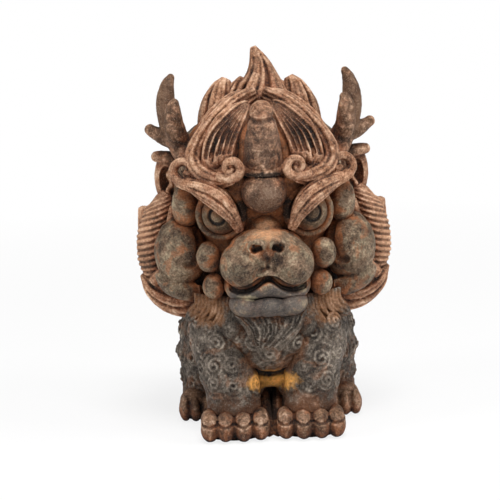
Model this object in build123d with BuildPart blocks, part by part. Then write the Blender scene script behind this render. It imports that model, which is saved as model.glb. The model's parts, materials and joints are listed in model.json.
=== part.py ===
"""A small cast guardian lion (foo dog) sitting upright: horned, antlered, with a curled mane.

Millimetres. +Z is up, the lion faces -Y, and its own left side is +X. The origin is on the ground,
under the middle of the figure. The figure is laid out by its forms: each is a solid of its own,
cut to sit face to face on the ones placed before it.
"""

from build123d import *
from math import cos, radians, sin
import os

# ---- driving dimensions -------------------------------------------------------------------------
HEIGHT = 79.0            # ground to the tip of the crest
FRONT = -27.5            # foremost point: nose and front toes

HEAD_Z = 49.0            # centre of the skull
SKULL = (18.0, 18.0, 19.0)
EYE_X, EYE_Y, EYE_Z = 8.8, -16.5, 46.0
EYE_R = 4.1
GAZE = (0.28, -1.0, 0.05)    # the way an eye looks
BOSS_R = 4.7
HORN_ROOT = (0.0, -17.0, 55.2)
HORN_TIP = (0.0, -21.0, 67.4)
HORN_TIP_R = 2.3
ANTLER_ROOT = (14.6, -6.0, 56.0)
ANTLER_TIP = (18.2, -3.2, 73.5)
PAW_X = 7.7              # middle of a front paw
PAW_TOES = (2.6, 6.2, 9.8, 13.0)
TOE_R = 1.95
THIGH = (12.6, 5.0, 13.0)    # middle of the thigh
THIGH_RADII = (6.4, 11.0, 12.6)
THIGH_CURLS = ((0, 1, 0), (29, 6, 0), (58, 11, 15))    # degrees off its side, how many, first turn
CURL_R, CURL_PROUD = 2.2, 0.5     # ball that makes a curl, and how far it stands out
BACK_LOCK_X = 7.2        # spacing of the locks down the back of the head
BACK_CURVE = 0.034       # how fast the back of the head falls away from its middle, per mm

FLOOR = Plane.XY
MIRROR = Plane.YZ

REACH_MESH = 0.2         # how finely a form is measured for its box
placed = {}              # every form so far, whole, with its box


# ---- shapes -------------------------------------------------------------------------------------
def lump(centre, radii, turn=(0, 0, 0)):
    """An egg: a ball drawn out to three half-widths, turned, and moved to its centre."""
    with BuildPart() as egg:
        Sphere(1)
        scale(by=radii)
    return egg.part.moved(Location(centre, turn))


def lock(points, radii, flat=1.0, face=(0, 1, 0)):
    """A tapering lock, lofted through ellipses set square to a smooth line.

    radii are half-widths at even steps along the line, and flat is the depth of each ellipse as a
    share of its half-width, measured towards face.
    """
    line = Spline(*points)
    last = len(radii) - 1
    with BuildPart() as strand:
        for step, radius in enumerate(radii):
            along = (line % (step / last)).normalized()
            depth = Vector(*face)
            depth = (depth - along * depth.dot(along)).normalized()
            across = depth.cross(along)
            with BuildSketch(Plane(origin=line @ (step / last), x_dir=across, z_dir=along)):
                Ellipse(radius, radius * flat * 0.999)
        loft()
    return strand.part


def ring(centre, radius, thickness, axis=(0, -1, 0)):
    """A ring of round section about an axis."""
    with BuildPart() as hoop:
        with Locations(Plane(origin=centre, z_dir=axis)):
            Torus(radius, thickness)
    return hoop.part


def round_spot(centre, radii, off_side, turn):
    """A place on an upright egg and the way it faces, off_side degrees from its left side, then turned."""
    off, turn = radians(off_side), radians(turn)
    out = Vector(cos(off), sin(off) * cos(turn), sin(off) * sin(turn))
    place = Vector(*(middle + half * part for middle, half, part in zip(centre, radii, out)))
    return place, Vector(*(part / half for half, part in zip(radii, out)))


def reach(form):
    """The lowest and highest corners of a form."""
    corners, _ = form.tessellate(REACH_MESH)
    return [(min(axis), max(axis)) for axis in zip(*(tuple(corner) for corner in corners))]


def neighbours(form):
    """The forms placed so far whose boxes overlap this one's."""
    box = reach(form)
    return [
        other
        for other, other_box in placed.values()
        if all(low < high2 and low2 < high for (low, high), (low2, high2) in zip(box, other_box))
    ]


def seated(form):
    """The form with all that its neighbours already fill cut away, as one solid."""
    with BuildPart() as piece:
        add(form)
        for neighbour in neighbours(form):
            add(neighbour, mode=Mode.SUBTRACT)
    return Part(piece.part.solids().sort_by(SortBy.VOLUME)[-1].wrapped)


def keep(name, form, solid):
    """Records the whole form, for later ones to be cut by, and writes its seated solid."""
    placed[name] = (form, reach(form))
    solid.label = name
    export_step(solid, f"parts/{name}.step")


def place(name, form):
    """Seats a form on the centre line."""
    keep(name, form, seated(form))


def place_pair(name, form):
    """Seats a form on the lion's left, and its mirror image on the right."""
    solid = seated(form)
    keep(name + "_left", form, solid)
    keep(name + "_right", mirror(form, about=MIRROR), mirror(solid, about=MIRROR))


# ---- body ---------------------------------------------------------------------------------------
def torso():
    """Chest, neck and rump, flat where the rump sits on the ground."""
    with BuildPart() as body:
        add(lump((0, -6.6, 20.2), (14.0, 14.4, 10.6)))
        add(lump((0, 2.0, 31.6), (17.6, 14.4, 11.0)))
        add(lump((0, 9.5, 14.5), (13.0, 13.2, 17.0)))
        add(lump((0, -12.0, 18.8), (9.0, 8.8, 7.8)))
        add(lump((0, -5.0, 7.2), (7.4, 8.0, 7.6)))
        split(bisect_by=FLOOR, keep=Keep.TOP)
    return body.part


def foreleg():
    """A front leg: a heavy shoulder running down to a thick wrist."""
    return lock(
        [(9.4, -9.5, 24), (9.0, -14.2, 16.0), (8.1, -16.8, 9.5), (7.8, -17.6, 3.6)],
        [6.6, 6.8, 6.1, 5.6, 5.9],
        flat=1.0,
    )


def forepaw():
    """A broad paw with four toes, flat underneath."""
    with BuildPart() as paw:
        add(lump((PAW_X, -18.6, 2.2), (7.0, 6.6, 3.8)))
        for x in PAW_TOES:
            setback = 0.22 * abs(x - PAW_X)
            add(lump((x, FRONT + 3.2 + setback, 2.5), (TOE_R, 3.2, 2.7)))
            add(lump((x, -21.0 + 0.5 * setback, 3.6), (TOE_R * 0.95, 3.4, 2.3)))
        split(bisect_by=FLOOR, keep=Keep.TOP)
    return paw.part


def haunch():
    """The folded hind leg, studded with curls, flat where it meets the ground."""
    with BuildPart() as thigh:
        add(lump(THIGH, THIGH_RADII))
        add(lump((14.2, 3.0, 4.2), (4.6, 8.5, 4.8)))
        for off_side, count, first in THIGH_CURLS:
            for number in range(count):
                spot, facing = round_spot(THIGH, THIGH_RADII, off_side, first + number * 360 / count)
                if spot.Z > 5:
                    with Locations(spot - facing.normalized() * (CURL_R - CURL_PROUD)):
                        Sphere(CURL_R)
        split(bisect_by=FLOOR, keep=Keep.TOP)
    return thigh.part


def hind_paw():
    """The hind foot beside the front leg, with three toes."""
    with BuildPart() as foot:
        add(lump((15.7, -2.6, 3.0), (3.7, 5.2, 3.7)))
        for x in (13.6, 16.0, 18.2):
            add(lump((x, -6.4 + 0.25 * abs(x - 15.6), 2.6), (1.4, 2.7, 2.7)))
        split(bisect_by=FLOOR, keep=Keep.TOP)
    return foot.part


def tail():
    """A flame-shaped tail lying up the back."""
    with BuildPart() as flame:
        add(lock(
            [(0, 19.4, 3.5), (0, 23.6, 11), (0, 24.6, 20), (0.6, 22.4, 29)],
            [3.0, 4.8, 4.6, 3.4, 0.7],
            flat=0.66,
        ))
        for side in (-1, 1):
            add(lock(
                [(side * 2, 20, 6), (side * 5.6, 22.4, 12), (side * 6.8, 22.2, 18.5), (side * 5.4, 20.6, 24)],
                [2.2, 3.0, 2.5, 0.6],
                flat=0.8,
            ))
    return flame.part


# ---- head ---------------------------------------------------------------------------------------
def muzzle():
    """The upper lip: two full lobes under the bridge of the nose."""
    with BuildPart() as lips:
        for side in (-1, 1):
            add(lump((side * 4.5, -20.6, 36.0), (5.2, 6.3, 5.0), (0, side * -10, 0)))
        add(lump((0, -19.6, 38.8), (7.8, 7.0, 4.6)))
        add(lump((0, -21.0, 37.2), (4.6, 5.4, 2.6)))
        add(lump((0, -16.0, 43.0), (3.6, 5.0, 3.4)))
    return lips.part


def nose():
    """The nose pad, with a nostril bored into each side."""
    with BuildPart() as pad:
        add(lump((0, -24.7, 40.6), (3.5, 2.4, 1.9)))
        with Locations((0, -26.3, 39.2)):
            Sphere(1.1)
        for side in (-1, 1):
            add(lump((side * 1.75, -26.9, 40.2), (1.0, 1.5, 0.8), (0, side * 20, 0)), mode=Mode.SUBTRACT)
    return pad.part


def lower_lip():
    """The lower lip, a band that rises in the middle and dips under each lobe of the muzzle."""
    return lock(
        [(-7.4, -17.6, 32.4), (-5.0, -21.8, 31.0), (0, -23.6, 32.4), (5.0, -21.8, 31.0), (7.4, -17.6, 32.4)],
        [1.5, 2.0, 2.2, 2.3, 2.4, 2.3, 2.2, 2.0, 1.5],
        flat=1.1,
        face=(0, 0, 1),
    )


def chin():
    """The chin: a second band under the lip, with the jaw behind it."""
    with BuildPart() as jaw:
        add(lump((0, -16.5, 29.8), (8.0, 7.0, 4.4)))
        for side in (-1, 0, 1):
            add(lump((side * 4.4, -20.6 - 0.6 * (side == 0), 28.0), (3.7, 4.6, 2.8)))
    return jaw.part


def eye():
    """An eyeball with a raised iris inside a ring-shaped groove."""
    centre = Vector(EYE_X, EYE_Y, EYE_Z)
    gaze = Vector(*GAZE).normalized()
    with BuildPart() as ball:
        with Locations(centre):
            Sphere(EYE_R)
        add(ring(centre + gaze * (EYE_R * 0.93), 1.55, 0.36, gaze), mode=Mode.SUBTRACT)
        with Locations(centre + gaze * (EYE_R * 0.82)):
            Sphere(0.95)
    return ball.part


def eyelid():
    """The ring round the eye."""
    centre = Vector(EYE_X, EYE_Y, EYE_Z) + Vector(*GAZE).normalized() * 0.6
    return ring(centre, EYE_R + 0.6, 0.75, GAZE)


def brow():
    """A heavy brow sweeping up from the bridge of the nose to a curl at the temple."""
    with BuildPart() as arch:
        add(lock(
            [(4.0, -20.4, 43.2), (6.3, -21.0, 46.4), (9.2, -20.3, 49.2), (12.8, -18.2, 51.4), (16.4, -15.0, 52.9)],
            [0.9, 2.0, 2.7, 2.8, 2.4, 1.7, 1.2],
            flat=0.8,
        ))
        add(ring((16.1, -14.6, 55.0), 1.75, 0.75, (0.45, -1, 0.2)))
        add(lock([(16.4, -15.0, 52.9), (18.0, -14.2, 53.9), (17.9, -14.0, 55.8)], [1.2, 1.0, 0.75], flat=1.0))
    return arch.part


def forelock():
    """The hair beside the horn, falling from the parting."""
    return lock(
        [(2.4, -10.0, 67.6), (5.8, -12.4, 64.4), (8.0, -14.6, 60.4), (8.2, -17.0, 56.8)],
        [1.4, 2.9, 3.7, 3.7, 2.7],
        flat=0.55,
    )


def forelock_curl():
    """The roll at the end of a forelock, beside the horn."""
    return ring((6.6, -20.9, 56.1), 1.35, 0.85, (0.1, -1, 0.1))


def crown_lock():
    """The hair over the temple, with a thick rim along its front edge."""
    with BuildPart() as hair:
        add(lock(
            [(0.9, -6.6, 69.2), (5.6, -8.2, 67.0), (10.4, -9.8, 62.2), (13.0, -11.4, 55.6)],
            [1.7, 2.9, 3.1, 3.0, 2.2],
            flat=1.1,
        ))
        add(lock([(0.9, -8.4, 70.2), (8.2, -10.8, 66.2), (12.2, -12.4, 62.0), (14.3, -13.8, 57.4)],
                 [1.0, 1.6, 1.9, 2.1]))
    return hair.part


def horn():
    """A blunt horn leaning forward, ringed by a groove below its tip."""
    root, tip = Vector(*HORN_ROOT), Vector(*HORN_TIP)
    lean = (tip - root).normalized()
    with BuildPart() as spike:
        add(lock([HORN_ROOT, (0, -19.4, 60.6), (0, -20.6, 64.2), HORN_TIP], [4.1, 3.9, 3.5, 3.0, HORN_TIP_R]))
        with Locations(tip - lean * 0.15):
            Sphere(HORN_TIP_R + 0.05)
        add(ring(tip - lean * 1.9, HORN_TIP_R + 0.5, 0.34, lean), mode=Mode.SUBTRACT)
    return spike.part


def horn_collar():
    """The raised ring at the foot of the horn."""
    root, tip = Vector(*HORN_ROOT), Vector(*HORN_TIP)
    lean = (tip - root).normalized()
    return ring(root + lean * 0.6, 3.5, 1.3, lean)


def antler():
    """An antler with a long tine, a front tine and a short outer prong."""
    with BuildPart() as branch:
        add(lock([ANTLER_ROOT, (16.9, -5.4, 59.6), (19.0, -4.4, 64.6), (19.4, -3.6, 69.6), ANTLER_TIP],
                 [2.7, 2.7, 2.5, 2.3, 2.1, 1.7, 0.7]))
        add(lock([(16.7, -6.2, 60.0), (17.9, -7.6, 63.6), (17.7, -7.9, 68.6)], [2.1, 2.1, 1.9, 0.9]))
        add(lock([(17.4, -5.0, 60.2), (20.8, -4.0, 61.2), (23.4, -3.4, 62.7)], [2.1, 1.7, 1.0]))
    return branch.part


def ear():
    """A cupped ear with a rolled upper lip."""
    with BuildPart() as leaf:
        add(lump((19.3, -1.0, 51.4), (3.4, 2.8, 6.0), (0, 4, 0)))
        add(lump((20.0, -3.8, 51.2), (1.7, 2.4, 3.6), (0, 4, 0)), mode=Mode.SUBTRACT)
        add(lock([(15.8, -2.4, 55.0), (19.2, -3.2, 56.4), (22.4, -2.0, 56.6)], [1.3, 1.4, 1.1]))
    return leaf.part


def temple():
    """The swelling between the brow and the jowl."""
    return lump((16.2, -11.2, 47.2), (2.9, 3.4, 4.6))


def jowl():
    """The great cheek, a comma whose tail turns in under the lip."""
    with BuildPart() as cheek:
        add(lump((17.6, -9.8, 37.4), (5.6, 6.2, 7.2)))
        add(lock([(19.6, -9.4, 33.5), (17.4, -11.4, 30.0), (13.6, -13.6, 29.6)], [3.8, 3.4, 2.4, 1.2]))
    return cheek.part


def cheek_ball():
    """The small ball between the lip and the jowl."""
    return lump((11.8, -17.6, 37.4), (2.6, 2.6, 3.2))


def lip_ball():
    """The lower ball, beside the corner of the mouth."""
    return lump((11.0, -17.4, 31.2), (2.4, 2.6, 2.7))


def side_mane():
    """The ribbed band of mane behind the jowl."""
    return lock(
        [(19.4, -2.0, 48.6), (22.2, -1.6, 43.6), (24.0, -1.6, 37.6), (23.0, -2.6, 31.4)],
        [2.0, 2.9, 3.1, 2.9, 1.8],
        flat=1.1,
    )


def mane_flap():
    """The outer leaf of the mane, standing up to a blunt tip."""
    return lock(
        [(20.6, 3.2, 30.6), (24.0, 4.6, 35.0), (25.0, 5.4, 40.0), (25.9, 5.0, 45.2)],
        [1.6, 2.2, 2.3, 1.9, 1.1],
        flat=1.7,
    )


def mane_lock():
    """The lower lock of the mane, sweeping out and up to a point."""
    return lock(
        [(13.0, -7.0, 26.6), (18.4, -5.8, 26.2), (23.2, -3.8, 28.2), (26.4, -1.8, 31.6)],
        [3.2, 3.7, 3.4, 2.4, 0.6],
        flat=0.9,
    )


def throat_lock():
    """The short lock under the jowl."""
    return lock(
        [(8.6, -14.0, 26.6), (13.4, -14.6, 25.2), (17.0, -13.6, 24.4), (19.0, -12.4, 25.4)],
        [3.0, 2.9, 2.3, 0.6],
        flat=0.8,
    )


def beard():
    """The beard, wide under the chin and swept to a point on the chest."""
    with BuildPart() as hair:
        add(lock([(0, -18.6, 27.5), (0.2, -20.6, 23.5), (-0.6, -20.7, 20.2), (-2.4, -19.7, 16.8)],
                 [8.0, 7.4, 5.6, 3.6, 0.9], flat=0.34))
        for side in (-1, 1):
            add(lock([(side * 5.5, -17.8, 27), (side * 7.6, -18.9, 23), (side * 7.4, -18.0, 19.2)],
                     [2.6, 2.4, 0.7], flat=0.8))
    return hair.part


def crest():
    """The flame that crowns the head."""
    return lock(
        [(0, -2.0, 62.0), (0.6, 0.8, 69.0), (0.6, 2.4, 74.2), (-0.7, 3.0, HEIGHT - 0.15)],
        [8.4, 7.0, 5.0, 3.2, 2.0, 0.55],
        flat=0.72,
    )


def crest_flame():
    """A smaller flame beside the crest."""
    return lock(
        [(8.8, -1.0, 60.0), (9.4, 0.6, 65.2), (8.6, 2.2, 69.6), (7.7, 2.8, 72.6)],
        [4.8, 4.0, 2.9, 2.0, 0.9],
        flat=0.9,
    )


def back_lock(x):
    """One of the long locks down the back of the head, following its curve, with its tip flicked out."""
    hollow = BACK_CURVE * x * x
    return lock(
        [
            (0.55 * x, 7.0 - 0.4 * hollow, 64.0 - 0.2 * abs(x)),
            (0.95 * x, 14.8 - hollow, 54.5),
            (1.05 * x, 16.8 - hollow, 42.0),
            (1.0 * x, 21.6 - hollow, 31.0),
        ],
        [3.6, 4.9, 5.0, 4.2, 2.9, 0.7],
        flat=0.9,
    )


# ---- assembly: hosts first, then what stands on them ----------------------------------------------
os.makedirs("parts", exist_ok=True)
place("skull", lump((0, -1.0, HEAD_Z), SKULL))
place("torso", torso())
place_pair("haunch", haunch())
place_pair("forepaw", forepaw())
place_pair("foreleg", foreleg())
place_pair("hind_paw", hind_paw())
place("muzzle", muzzle())
place("nose", nose())
place("lower_lip", lower_lip())
place("chin", chin())
place("forehead_boss", lump((0, -18.7, 50.6), (BOSS_R, 4.2, BOSS_R * 0.93)))
place_pair("eye", eye())
place_pair("eyelid", eyelid())
place("horn", horn())
place("horn_collar", horn_collar())
place_pair("brow", brow())
place_pair("crown_lock", crown_lock())
place_pair("forelock", forelock())
place_pair("forelock_curl", forelock_curl())
place_pair("temple", temple())
place_pair("jowl", jowl())
place_pair("cheek_ball", cheek_ball())
place_pair("lip_ball", lip_ball())
place_pair("antler", antler())
place_pair("ear", ear())
place("crest", crest())
place_pair("crest_flame", crest_flame())
place_pair("side_mane", side_mane())
place_pair("mane_flap", mane_flap())
place_pair("mane_lock", mane_lock())
place_pair("throat_lock", throat_lock())
place("beard", beard())
place("back_lock", back_lock(0))
place_pair("back_lock_inner", back_lock(BACK_LOCK_X))
place_pair("back_lock_outer", back_lock(2 * BACK_LOCK_X))
place("tail", tail())
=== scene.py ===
# %% [markdown]
# # A cast guardian beast, dressed
#
# The model is a small seated guardian in rusted iron: a blunt horn, two antlers, a flame for a crest,
# a mane of carved locks and a chest of curls. The solids are already made and stand in one fixed frame.
# Here each form gets the surface that a carver would give it, and a coat of rust.

# %% Load the frame
import json
import math
import random

import bmesh
import bpy
import numpy as np
from mathutils import Matrix, Vector
from mathutils.bvhtree import BVHTree
from mathutils.kdtree import KDTree


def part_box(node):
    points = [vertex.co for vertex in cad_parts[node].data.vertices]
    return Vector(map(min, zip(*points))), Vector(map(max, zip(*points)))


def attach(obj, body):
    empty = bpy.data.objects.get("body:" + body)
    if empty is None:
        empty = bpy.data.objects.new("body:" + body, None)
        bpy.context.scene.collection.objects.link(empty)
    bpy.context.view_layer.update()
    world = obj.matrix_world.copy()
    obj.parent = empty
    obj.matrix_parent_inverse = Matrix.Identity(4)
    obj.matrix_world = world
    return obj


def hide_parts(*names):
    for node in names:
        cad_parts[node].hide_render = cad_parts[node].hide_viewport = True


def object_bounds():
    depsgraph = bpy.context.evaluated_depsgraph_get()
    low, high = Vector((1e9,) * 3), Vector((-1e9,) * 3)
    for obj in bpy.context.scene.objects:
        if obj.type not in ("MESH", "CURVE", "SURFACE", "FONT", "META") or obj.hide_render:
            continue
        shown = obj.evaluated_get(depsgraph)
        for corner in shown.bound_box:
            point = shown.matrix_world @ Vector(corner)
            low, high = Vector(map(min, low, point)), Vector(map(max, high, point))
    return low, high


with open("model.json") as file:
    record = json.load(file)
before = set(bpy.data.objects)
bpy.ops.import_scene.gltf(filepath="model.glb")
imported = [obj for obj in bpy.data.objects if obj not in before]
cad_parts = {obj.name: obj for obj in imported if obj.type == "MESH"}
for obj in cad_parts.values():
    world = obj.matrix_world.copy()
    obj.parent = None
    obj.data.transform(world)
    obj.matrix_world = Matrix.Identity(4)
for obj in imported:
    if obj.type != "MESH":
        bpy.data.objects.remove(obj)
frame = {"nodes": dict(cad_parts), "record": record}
solid_box = [list(corner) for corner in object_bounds()]
print("solids:", len(frame["nodes"]), "box:", solid_box)

# %% [markdown]
# ## Units and sides
#
# The figure is 79 mm tall, so every place below is written in millimetres, in the frame of the solids:
# +X is the beast's own left, it faces -Y, and +Z is up. `MM` turns a length into Blender's metres.
# Most forms come in pairs, so a function gets a side, 1 or -1, and its name's ending.

# %% Units and sides
MM = 0.001
SIDES = ((1, "_left"), (-1, "_right"))
FINE = 0.2             # voxel of the face and the hair
COARSE = 0.27          # voxel of the body and the back
BROAD = 0.31           # voxel of the two largest pieces, which keeps each under 200,000 triangles
BODY = "root"          # nothing moves, so every piece rides on the one body

# %% [markdown]
# ## Helpers: one object, picked alone
#
# Operators act on whatever is selected. `only` clears the selection and picks the objects named, so
# that each later step works on what it should.

# %% Selecting
def only(*objects):
    bpy.ops.object.select_all(action="DESELECT")
    for obj in objects:
        obj.select_set(True)
    bpy.context.view_layer.objects.active = objects[0]


def modify(obj, kind, **settings):
    """Adds a modifier, sets it, and applies it at once."""
    only(obj)
    modifier = obj.modifiers.new(kind.lower(), kind)
    for name, value in settings.items():
        setattr(modifier, name, value)
    bpy.ops.object.modifier_apply(modifier=modifier.name)


# %% [markdown]
# ## Clay from a solid
#
# A node of the frame is a clean machine shape. Its mesh is copied, its loose triangles are welded,
# and the copy is used as clay: carved lines are pressed on to it, and a voxel remesh fuses them with
# it, as wax is worked. The node itself is never changed.

# %% Clay
WELD = 0.002             # corners nearer than this become one


def clay(node):
    """A welded copy of a node's mesh, as a new object."""
    copy = frame["nodes"][node].copy()
    copy.data = copy.data.copy()
    copy.data.materials.clear()
    bpy.context.scene.collection.objects.link(copy)
    copy.hide_render = False
    copy.hide_set(False)
    only(copy)
    bpy.ops.object.mode_set(mode="EDIT")
    bpy.ops.mesh.select_all(action="SELECT")
    bpy.ops.mesh.remove_doubles(threshold=WELD * MM)
    bpy.ops.object.mode_set(mode="OBJECT")
    return copy


# %% [markdown]
# ## Strands
#
# Carved hair is a bundle of round strands lying side by side. Each strand is a NURBS spline with a
# radius at every point. Several splines live in one curve, which becomes a mesh in one step. A
# smooth line through a few chosen points (Catmull-Rom) gives the strands their course.

# %% Strands
ROUNDNESS = 2            # Blender's measure of how many sides a tube has
STEPS_BETWEEN = 3        # pieces of tube between two points of a strand
BACKWARDS = Vector((0, 1, 0))
THINNEST = 0.18          # least radius of a strand in a lock


def smooth_line(points, steps):
    """Evenly stepped points on a smooth line through the given ones."""
    points = [Vector(point) for point in points]
    padded = [2 * points[0] - points[1], *points, 2 * points[-1] - points[-2]]
    line = []
    for step in range(steps):
        place = step / (steps - 1) * (len(points) - 1)
        span = min(int(place), len(points) - 2)
        t = place - span
        a, b, c, d = padded[span:span + 4]
        line.append(0.5 * (2 * b + (c - a) * t + (2 * a - 5 * b + 4 * c - d) * t * t
                           + (3 * b - a - 3 * c + d) * t ** 3))
    return line


def even_values(values, steps):
    """The same for a list of numbers, in straight runs."""
    result = []
    for step in range(steps):
        place = step / (steps - 1) * (len(values) - 1)
        span = min(int(place), len(values) - 2)
        result.append(values[span] + (values[span + 1] - values[span]) * (place - span))
    return result


def tubes(name, strands):
    """A mesh of round tubes, one for each (points, radii) pair, in millimetres."""
    bpy.ops.object.select_all(action="DESELECT")
    bpy.ops.curve.primitive_nurbs_path_add()
    curve_object = bpy.context.object
    curve_object.name = name
    curve = curve_object.data
    curve.splines.clear()
    curve.dimensions = "3D"
    curve.bevel_depth = 1.0
    curve.bevel_resolution = ROUNDNESS
    curve.use_fill_caps = True
    curve.resolution_u = STEPS_BETWEEN
    for points, radii in strands:
        spline = curve.splines.new("NURBS")
        spline.points.add(len(points) - 1)
        for point, place, radius in zip(spline.points, points, radii):
            point.co = (*(Vector(place) * MM), 1.0)
            point.radius = radius * MM
        spline.order_u = 3
        spline.use_endpoint_u = True
    only(curve_object)
    bpy.ops.object.convert(target="MESH")
    return bpy.context.object


def bundle(points, radii, count, flat, twist, seed, share=0.26, steps=12):
    """The strands of one lock: a core, and count strands round it.

    radii are the lock's half-widths along its line, flat is its depth as a share of its width, twist is
    how many turns the strands make on their way, and share is a strand's width as a share of the lock's.
    """
    dice = random.Random(seed)
    line = smooth_line(points, steps)
    widths = even_values(radii, steps)
    frames = []
    for step in range(steps):
        along = (line[min(step + 1, steps - 1)] - line[max(step - 1, 0)]).normalized()
        depth = (BACKWARDS - along * BACKWARDS.dot(along)).normalized()
        frames.append((depth.cross(along), depth))
    strands = [(line, [width * min(flat, 1.0) * (1 - share) for width in widths])]
    for number in range(count):
        phase = 2 * math.pi * number / count + dice.uniform(-0.12, 0.12)
        reach = dice.uniform(0.96, 1.06)
        own = share * dice.uniform(0.85, 1.15)
        places, sizes = [], []
        for step, (across, depth) in enumerate(frames):
            turn = phase + 2 * math.pi * twist * step / (steps - 1)
            arm = widths[step] * (1 - own) * reach
            offset = across * math.cos(turn) * arm + depth * math.sin(turn) * arm * flat
            places.append(line[step] + offset)
            sizes.append(max(widths[step] * own, THINNEST))
        strands.append((places, sizes))
    return strands


def coil(centre, normal, start, outer, inner, turns, thick, hand, points):
    """A flat spiral strand: it winds in from the outer to the inner radius, and gets thinner."""
    normal = Vector(normal).normalized()
    across = normal.cross(Vector((0, 0, 1))).normalized()
    up = across.cross(normal).normalized()
    places, sizes = [], []
    for number in range(points):
        share = number / (points - 1)
        angle = math.radians(start) + hand * 2 * math.pi * turns * share
        radius = outer + (inner - outer) * share
        offset = across * math.cos(angle) * radius + up * math.sin(angle) * radius
        places.append(Vector(centre) + offset)
        sizes.append(thick * (1 - 0.35 * share))
    return places, sizes


def rounded_end(before, end, radius, steps=6):
    """A strand that carries on past the end of a lock as half a ball."""
    before, end = Vector(before), Vector(end)
    along = (end - before).normalized()
    angles = [math.pi / 2 * step / (steps - 1) for step in range(steps)]
    places = [end + along * radius * (math.sin(angle) - 0.35) for angle in angles]
    return places, [max(radius * math.cos(angle), 0.1) for angle in angles]


def mirrored(strands, side):
    """Strands for one side: as they are, or mirrored about the middle plane."""
    return [([Vector((side * p[0], p[1], p[2])) for p in points], radii) for points, radii in strands]


# %% [markdown]
# ## Strands that follow a skin
#
# A line drawn in the air near a form is laid on to it: every point moves to the nearest place on the
# skin, and then a little out or in. Strands laid this way hug the form, so they neither float nor drown.

# %% Laying lines on a skin
def surface_of(obj):
    """A search tree over an object's skin."""
    mesh = bmesh.new()
    mesh.from_mesh(obj.data)
    tree = BVHTree.FromBMesh(mesh)
    mesh.free()
    return tree


def laid(points, skin, proud=0.0):
    """The points moved on to the skin, and then proud of it by so many millimetres."""
    line = []
    for point in points:
        place, normal, _, _ = skin.find_nearest(Vector(point) * MM)
        line.append(place / MM + normal * proud)
    return line


# %% [markdown]
# ## Fusing and ageing
#
# `cast` joins clay and strands, remeshes them into one skin and softens it, because a sand casting has
# no crisp edge. Lines may then be pressed into the skin, like a modelling tool drawn through wax, and
# an attribute remembers where, so that the material can paint the line dark as its shade.
# Two cloud textures push the skin in and out by a tenth of a millimetre or so: a slow one for the
# hand-made waver, and a fast one for the grain of the sand.
#
# `dress` then puts the piece in the place of its solid. `make_plain` does all of this for a smooth
# form, and `make_lock` for one that is made of strands alone.

# %% Fusing and ageing
def clouds(name, size):
    """A cloud texture with lumps of this size, in mm."""
    texture = bpy.data.textures.new(name, "CLOUDS")
    texture.noise_scale = size * MM
    texture.noise_depth = 3
    return texture


WAVER = clouds("waver", 3.2)
GRAIN = clouds("grain", 0.7)
RELIEF_ROUNDS = 12       # rounds of smoothing that a vertex's relief is measured against
RELIEF_FULL = 0.13       # relief, in mm, that counts as fully raised or fully sunk


def corners_of(obj):
    """An object's vertex places, and their normals, as arrays."""
    places = np.empty(len(obj.data.vertices) * 3)
    normals = np.empty_like(places)
    obj.data.vertices.foreach_get("co", places)
    obj.data.vertices.foreach_get("normal", normals)
    return places.reshape(-1, 3), normals.reshape(-1, 3)


def press(obj, lines, radius, depth, groove_shade):
    """Presses lines into a skin: what lies within radius sinks, deepest right under the line.

    The last value is how dark the line is painted as shade: 1 is black under the line, more makes the black
    wider.
    """
    skin = surface_of(obj)
    spots = [place for line in lines for place in laid(line, skin)]
    tree = KDTree(len(spots))
    for number, spot in enumerate(spots):
        tree.insert(spot * MM, number)
    tree.balance()
    places, normals = corners_of(obj)
    away = np.array([tree.find(place)[2] for place in places]) / (radius * MM)
    sunk = np.clip(1 - away * away, 0, 1)
    places -= normals * (depth * MM * sunk)[:, None]
    obj.data.vertices.foreach_set("co", places.ravel())
    obj.data.update()
    pressed = obj.data.attributes.get("pressed") or obj.data.attributes.new("pressed", "FLOAT", "POINT")
    before = np.empty(len(places))
    pressed.data.foreach_get("value", before)
    pressed.data.foreach_set("value", np.maximum(before, np.minimum(1, groove_shade * sunk * sunk)))


def store_relief(obj):
    """Saves, on each vertex, how far it stands proud of the smoothed skin: -1 in a groove, 1 on an edge."""
    places, normals = corners_of(obj)
    worn = obj.copy()
    worn.data = obj.data.copy()
    bpy.context.scene.collection.objects.link(worn)
    modify(worn, "SMOOTH", factor=0.5, iterations=RELIEF_ROUNDS)
    smoothed, _ = corners_of(worn)
    bpy.data.objects.remove(worn)
    proud = ((places - smoothed) * normals).sum(axis=1) / (RELIEF_FULL * MM)
    attribute = obj.data.attributes.new("relief", "FLOAT", "POINT")
    attribute.data.foreach_set("value", np.clip(proud, -1.0, 1.0))


def keep_inside(obj):
    """Flattens what stands out of the box of the solids, such as the soles."""
    places, _ = corners_of(obj)
    obj.data.vertices.foreach_set("co", np.clip(places, *solid_box).ravel())
    obj.data.update()


def cast(name, parts, voxel=FINE, soften=2, waver=0.2, grain=0.12, pressed=()):
    """Fuses the parts into one aged casting with this name.

    pressed lists the lines that are pressed in, as (lines, radius, depth, darkness of the painted shade).
    """
    only(*parts)
    if len(parts) > 1:
        bpy.ops.object.join()
    piece = bpy.context.object
    piece.name = piece.data.name = name
    modify(piece, "REMESH", mode="VOXEL", voxel_size=voxel * MM)
    modify(piece, "SMOOTH", factor=0.5, iterations=soften)
    for lines, radius, depth, groove_shade in pressed:
        press(piece, lines, radius, depth, groove_shade)
    if waver:
        modify(piece, "DISPLACE", texture=WAVER, texture_coords="LOCAL", strength=waver * MM, mid_level=0.5)
    if grain:
        modify(piece, "DISPLACE", texture=GRAIN, texture_coords="LOCAL", strength=grain * MM, mid_level=0.5)
    keep_inside(piece)
    only(piece)
    bpy.ops.object.shade_smooth()
    store_relief(piece)
    return piece


pieces = {}              # every dressed piece, by its node


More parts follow.
